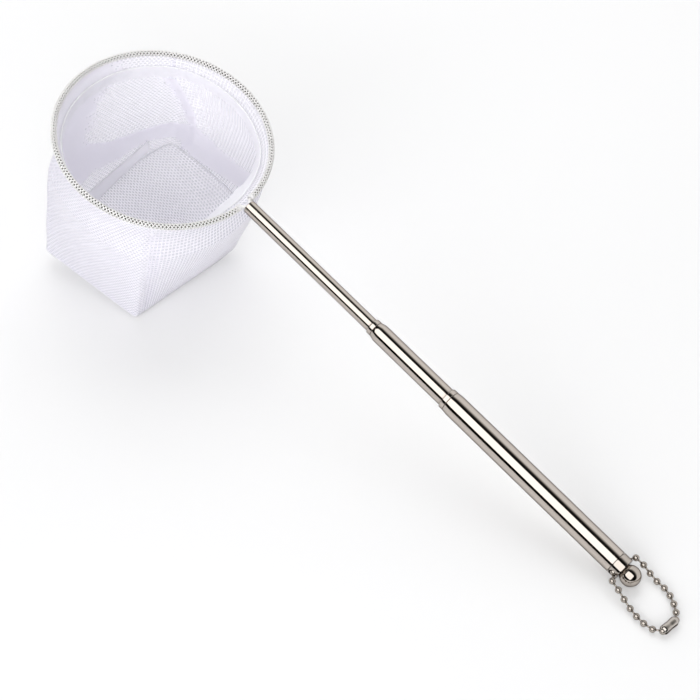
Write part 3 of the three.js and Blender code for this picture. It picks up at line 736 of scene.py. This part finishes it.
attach(net_wall, "head")
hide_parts("bag_wall")

# Bag base: the same net as a flat rectangle, its corners boxed and sewn to the wall's
# foot; it hangs a little uneven between them.
base_cells_x, base_cells_y, base_wave_size, base_wave_height = 31, 78, 14.0, 0.5
base = knitted(base_cells_x, base_cells_y)
bmesh.ops.scale(base, verts=base.verts, vec=(2 * base_half_x, 2 * base_half_y, 1))
open_cells(base)


def on_the_base(x, y, z):
    """A place on the base, its rectangle pulled in to the rounded corners."""
    corner = np.where(x > 0, np.where(y > 0, near_right, near_left),
                      np.where(y > 0, far_right, far_left))
    past = np.clip(np.abs(y) - (base_half_y - corner), 0, corner)
    pulled = corner - np.sqrt(np.maximum(corner**2 - past**2, 0))
    x = x * (base_half_x - pulled) / base_half_x
    free = (1 - (x / base_half_x) ** 2) * (1 - (y / base_half_y) ** 2)
    wave = free * ripple(x, y, z, base_wave_size, base_wave_height)
    at_x, at_y, lift = hung(x, y)
    return at_x + hoop_middle[0], at_y + hoop_middle[1], z - wall_foot + lift + wave


reshape(base, on_the_base)
net_base = laid(base, "bag_base_net", net_nylon)
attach(net_base, "head")
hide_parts("bag_base")

# Doubled cloth: where the bag's ears were folded over and sewn, a second ply lies inside
# the wall and closes its cells, so that it looks smooth and denser.
ply_inside, ply_columns, ply_rows, frayed, fray_size = 0.35, 300, 80, 0.035, 1.3
ear_round = (0.297, 0.303, 0.336, 0.362, 0.397, 0.417, 0.451, 0.482, 0.503, 0.517, 0.544)
ear_bottom = (0.85, 0.983, 0.9, 0.9, 0.842, 0.842, 0.858, 0.842, 0.81, 0.8, 0.79)
band_round = (0.165, 0.18, 0.211, 0.255, 0.294, 0.306)
band_top = (0.542, 0.583, 0.667, 0.683, 0.658, 0.592)
band_bottom = (0.733, 0.825, 0.9, 0.95, 0.967, 0.983)
side_down, side_round = (0.1, 0.2, 0.375, 0.525), (0.45, 0.48, 0.499, 0.513)
side_round_end, side_bottom = 0.665, 0.82
fold_before, fold_after, fold_down = 0.004, 0.02, (0.19, 0.6)
front_fold, front_top = (0.866, 0.889), 0.15
seam_turned, seam_round = 0.945, (0.63, 1.13)
ply = bmesh.new()
bmesh.ops.create_grid(ply, x_segments=ply_columns, y_segments=ply_rows, size=0.5)
net_sleeve(ply)


def doubled(x, y, z):
    """How far inside a doubled patch a place on the sleeve lies; its soft edges fray."""
    around, down, _ = from_sleeve(x, y, z)
    around = around % 1
    fray = ripple(x, y, z, fray_size, frayed)
    ear = np.minimum(down - np.interp(around, crease_round, crease_down),
                     np.interp(around, ear_round, ear_bottom) - down + fray)
    ear = np.minimum(ear, between(around, ear_round[0], ear_round[-1]))
    ridge = np.interp(down, ridge_down, ridge_round)
    fold = np.minimum(between(around, ridge - fold_before, ridge + fold_after + fray / 2),
                      between(down, *fold_down))
    band = between(down, np.interp(around, band_round, band_top) + fray,
                   np.interp(around, band_round, band_bottom))
    band = np.minimum(band, between(around, band_round[0], band_round[-1]))
    front = np.minimum(between(around, front_fold[0], front_fold[1] + fray / 3),
                       down - front_top)
    side = between(around, np.interp(down, side_down, side_round) + fray, side_round_end + fray)
    side = np.minimum(side, side_bottom - down)
    past_corner = np.where(around < seam_round[1] - 1, around + 1, around)
    seam = np.minimum(down - seam_turned, between(past_corner, *seam_round))
    return np.maximum.reduce([ear, fold, band, front, side, seam])


patch = doubled(*np.array([face.calc_center_median() for face in ply.faces]).T)
bmesh.ops.delete(
    ply, geom=[face for face, inside in zip(ply.faces, patch) if inside < 0], context="FACES"
)
reshape(ply, lambda x, y, z: on_the_wall(*from_sleeve(x, y, z)[:2], ply_inside))
wall_ply = laid(ply, "bag_wall_second_ply", net_nylon)
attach(wall_ply, "head")

# Hem band: the net's top edge turned to the inside and sewn down, a doubled strip that
# puckers between its stitches and stands off the wall beside the handle.
hem_top, hem_bottom, hem_inside, hem_rows, hem_columns = 5.6, 12.6, 0.7, 10, 420
pucker_size, pucker_drop, pucker_depth, stands_off = 7.0, 1.4, 0.7, 4.0
crumple_size, crumple_depth = 2.2, 0.35
hem_full, hem_drawn_in, loose_share, pucker_lean, stand_power = 1.1, 0.35, 0.6, 0.5, 4
hem = bmesh.new()
bmesh.ops.create_grid(hem, x_segments=hem_columns, y_segments=hem_rows, size=0.5)
net_sleeve(hem)


def on_the_hem(x, y, z):
    """A place on the hem: its own share down runs from its top edge to its lower edge."""
    around, share, _ = from_sleeve(x, y, z)
    puckered = ripple(x, y, z / net_height, pucker_size, 1)
    loose = np.sin(np.pi * np.clip(share, 0, 1) * loose_share)
    width = (hem_bottom - hem_top) * (hem_full - hem_drawn_in * slack(around))
    width = width + pucker_drop * puckered
    down = (hem_top + width * share) / net_height
    crumple = ripple(x, y, z * hem_bottom / net_height, crumple_size, crumple_depth)
    inside = hem_inside + loose * (pucker_depth * (puckered + pucker_lean) + crumple)
    inside = inside + stands_off * slack(around) ** stand_power * share
    return on_the_wall(around, down, inside)


reshape(hem, on_the_hem)
hem_nylon = soft_nylon("hem nylon", (0.96, 0.955, 0.98), (0.91, 0.905, 0.94), 700, 0.35)
hem_band = laid(hem, "hem_band_turned", hem_nylon)
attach(hem_band, "head")
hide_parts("hem_band")

# Hem thread: the white sewing thread along the hem's top edge, which rises and falls
# with each stitch.
sewn_at, sewn_radius, stitch_length, stitch_height, sewn_inside = 6.0, 0.3, 2.4, 0.16, 1.0
stitch_steps, thread_sides = 640, 6


def along_the_hem(x, y, z):
    """A small tube round the wall's inside, from a grid's way round and its ring of sides."""
    around, ring = x, 2 * np.pi * y
    stitch = stitch_height * np.sin(2 * np.pi * around * round(net_girth / stitch_length))
    down = (sewn_at + sewn_radius * np.sin(ring) + stitch) / net_height
    return on_the_wall(around, down, sewn_inside + sewn_radius * np.cos(ring))


thread = bmesh.new()
bmesh.ops.create_grid(thread, x_segments=stitch_steps, y_segments=thread_sides, size=0.5)
reshape(thread, along_the_hem)
bmesh.ops.remove_doubles(thread, verts=thread.verts, dist=cloth_weld)
sewing_thread = white_thread("hem thread", (0.96, 0.96, 0.97), (0.88, 0.88, 0.9), 1800)
hem_thread = laid(thread, "hem_thread_sewn", sewing_thread)
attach(hem_thread, "head")
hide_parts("hem_thread")

# Seam tape: a folded nylon tape sewn inside the bag along the far edge of its bottom.
tape_width, tape_inside, tape_crown, tape_thick, tape_lean = 4.2, 0.8, 0.3, 0.25, 3.2
tape_columns, tape_rows = 90, 6
tape_round = (0.394, 0.417, 0.446, 0.488, 0.535, 0.56)
tape_down = (0.865, 0.9, 0.93, 0.952, 0.96, 0.97)
tape = bmesh.new()
bmesh.ops.create_grid(tape, x_segments=tape_columns, y_segments=tape_rows, size=0.5)


def on_the_tape(x, y, z):
    """A place on the tape: it runs slanting along the wall, crowned across its width."""
    around = tape_round[0] + (tape_round[-1] - tape_round[0]) * (x + 0.5)
    down = np.interp(around, tape_round, tape_down) + y * tape_width / net_height
    inside = tape_inside + tape_crown * np.cos(np.pi * y) + tape_lean * (y + 0.5)
    return on_the_wall(around, np.minimum(down, 1), inside)


reshape(tape, on_the_tape)
bmesh.ops.recalc_face_normals(tape, faces=tape.faces)
bmesh.ops.solidify(tape, geom=tape.faces, thickness=tape_thick)
tape_nylon = soft_nylon("tape nylon", (0.99, 0.985, 1.0), (0.95, 0.945, 0.98), 1200, 0.4)
seam_tape = laid(tape, "seam_tape_folded", tape_nylon)
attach(seam_tape, "head")
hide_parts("seam_tape")

# Base seam: the rolled edge where the wall and the base are sewn together, a narrow
# bright ridge round the bottom.
seam_radius, seam_steps, seam_rise, seam_lean = 0.5, 360, 0.3, 0.4


def along_the_base_edge(x, y, z):
    """A small rolled tube round the wall's foot, from a grid as the thread's."""
    ring = 2 * np.pi * y
    inside = seam_radius * (seam_lean - np.cos(ring))
    at_x, at_y, at_z = on_the_wall(x, np.ones_like(x), inside)
    return at_x, at_y, at_z + seam_radius * np.sin(ring) + seam_rise


seam = bmesh.new()
bmesh.ops.create_grid(seam, x_segments=seam_steps, y_segments=thread_sides, size=0.5)
reshape(seam, along_the_base_edge)
bmesh.ops.remove_doubles(seam, verts=seam.verts, dist=cloth_weld)
base_seam = laid(seam, "base_seam_rolled", hem_nylon)
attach(base_seam, "head")

# Floor: a wide white board with a slight sheen, which takes the shadow; for the camera
# it is brightened to the white of the backdrop.
floor_radius, floor_sides = 4, 64
floor_mesh = bmesh.new()
bmesh.ops.create_circle(floor_mesh, cap_ends=True, segments=floor_sides, radius=floor_radius)
floor_white = mottled("floor white", (0.69, 0.69, 0.69), (0.67, 0.67, 0.67), scale=3, detail=2)
floor_nodes, floor_wires = floor_white.node_tree.nodes, floor_white.node_tree.links
floor_shader = floor_nodes["Principled BSDF"]
floor_shader.inputs["Roughness"].default_value = 0.3
floor_shader.inputs["Specular IOR Level"].default_value = 0.25
floor_path = floor_nodes.new("ShaderNodeLightPath")
floor_seen = floor_nodes.new("ShaderNodeMath")
floor_seen.operation = "MAXIMUM"
floor_wires.new(floor_path.outputs["Is Camera Ray"], floor_seen.inputs[0])
floor_wires.new(floor_path.outputs["Is Glossy Ray"], floor_seen.inputs[1])
floor_whitened = floor_nodes.new("ShaderNodeMath")
floor_whitened.operation = "MULTIPLY"
floor_whitened.inputs[1].default_value = 0.2
floor_wires.new(floor_seen.outputs["Value"], floor_whitened.inputs[0])
floor_shader.inputs["Emission Color"].default_value = (1, 1, 1, 1)
floor_wires.new(floor_whitened.outputs["Value"], floor_shader.inputs["Emission Strength"])
floor = finished(floor_mesh, "floor", floor_white)

# Light: a high back light and a low front fill for the cloth and the floor, and for the
# polished steel one softbox before a black canopy, which draws the steel's black lines.
def lamp(name, middle, aim, size, watts, shines_on):
    """A rectangular lamp that faces aim, and lights either matt or polished surfaces."""
    light = bpy.data.objects.new(name, bpy.data.lights.new(name, "AREA"))
    light.data.shape = "RECTANGLE"
    light.data.size, light.data.size_y = size
    light.data.energy = watts
    light.matrix_world = facing(Vector(middle), Vector(middle) - Vector(aim))
    light.visible_camera = False
    light.visible_diffuse = light.visible_transmission = shines_on == "matt"
    light.visible_glossy = shines_on == "polished"
    bpy.context.scene.collection.objects.link(light)
    return light


lamp("back light", (-0.47, 0.45, 0.85), (-0.06, 0, 0), (1, 1), 5.2, "matt")
lamp("front fill", (0.45, -0.98, 0.55), (-0.08, 0, 0.05), (1.6, 0.5), 11, "matt")
box_middle = Vector((0.205, -0.525, 0.735))
box_faces = Vector((0.2298, -0.5823, 0.780)).normalized()
box_along = Vector((0.959, 0, -0.2825))
box_across = box_faces.cross(box_along).normalized()
box_along = box_across.cross(box_faces).normalized()
box_place = Matrix.Translation(box_middle) @ (
    Matrix((box_along, box_across, box_faces)).transposed().to_4x4())
box_length, box_width, box_watts = 1.5, 1.08, 10
softbox = lamp("softbox", box_middle, (0, 0, 0), (box_length, box_width), box_watts, "polished")
softbox.matrix_world = box_place

canopy_length, canopy_below, canopy_above, canopy_behind = 7.0, -1.6, 4.5, 0.03
canopy = bmesh.new()
canopy.loops.layers.uv.new("across")
bmesh.ops.create_grid(canopy, x_segments=1, y_segments=1, size=0.5, calc_uvs=True)
bmesh.ops.scale(canopy, verts=canopy.verts, vec=(canopy_length, canopy_above - canopy_below, 1))
bmesh.ops.translate(
    canopy, verts=canopy.verts, vec=(0, (canopy_above + canopy_below) / 2, canopy_behind)
)
bmesh.ops.transform(canopy, verts=canopy.verts, matrix=box_place)
black_cloth = bpy.data.materials.new("black cloth")
black_cloth.use_nodes = True
cloth_nodes, cloth_wires = black_cloth.node_tree.nodes, black_cloth.node_tree.links
across = cloth_nodes.new("ShaderNodeUVMap")
apart = cloth_nodes.new("ShaderNodeSeparateXYZ")
cloth_wires.new(across.outputs["UV"], apart.inputs["Vector"])
fade = cloth_nodes.new("ShaderNodeMapRange")
fade.interpolation_type = "SMOOTHSTEP"
fade.inputs["From Min"].default_value = 0.43
fade.inputs["From Max"].default_value = 0.78
fade.inputs["To Max"].default_value = 0.8
cloth_wires.new(apart.outputs["Y"], fade.inputs["Value"])
cloth_shader = cloth_nodes["Principled BSDF"]
cloth_shader.inputs["Base Color"].default_value = (0.01, 0.01, 0.01, 1)
cloth_shader.inputs["Roughness"].default_value = 1
cloth_shader.inputs["Specular IOR Level"].default_value = 0
cloth_shader.inputs["Emission Color"].default_value = (1, 0.985, 0.965, 1)
cloth_wires.new(fade.outputs["Result"], cloth_shader.inputs["Emission Strength"])
black_canopy = finished(canopy, "black canopy", black_cloth)
black_canopy.visible_camera = black_canopy.visible_diffuse = False
black_canopy.visible_shadow = black_canopy.visible_transmission = False

room = bpy.data.worlds.new("room")
bpy.context.scene.world = room
room.use_nodes = True
room_nodes, room_wires = room.node_tree.nodes, room.node_tree.links
walls = room_nodes["Background"]
walls.inputs["Color"].default_value = (0.99, 0.99, 1, 1)
walls.inputs["Strength"].default_value = 0.61
backdrop = room_nodes.new("ShaderNodeBackground")
backdrop.inputs["Color"].default_value = (1, 1, 1, 1)
seen = room_nodes.new("ShaderNodeLightPath")
shown = room_nodes.new("ShaderNodeMath")
shown.operation = "MAXIMUM"
room_wires.new(seen.outputs["Is Camera Ray"], shown.inputs[0])
room_wires.new(seen.outputs["Is Glossy Ray"], shown.inputs[1])
which = room_nodes.new("ShaderNodeMixShader")
room_wires.new(shown.outputs["Value"], which.inputs["Fac"])
room_wires.new(walls.outputs["Background"], which.inputs[1])
room_wires.new(backdrop.outputs["Background"], which.inputs[2])
room_wires.new(which.outputs["Shader"], room_nodes["World Output"].inputs["Surface"])
bpy.context.scene.view_settings.view_transform = "Standard"
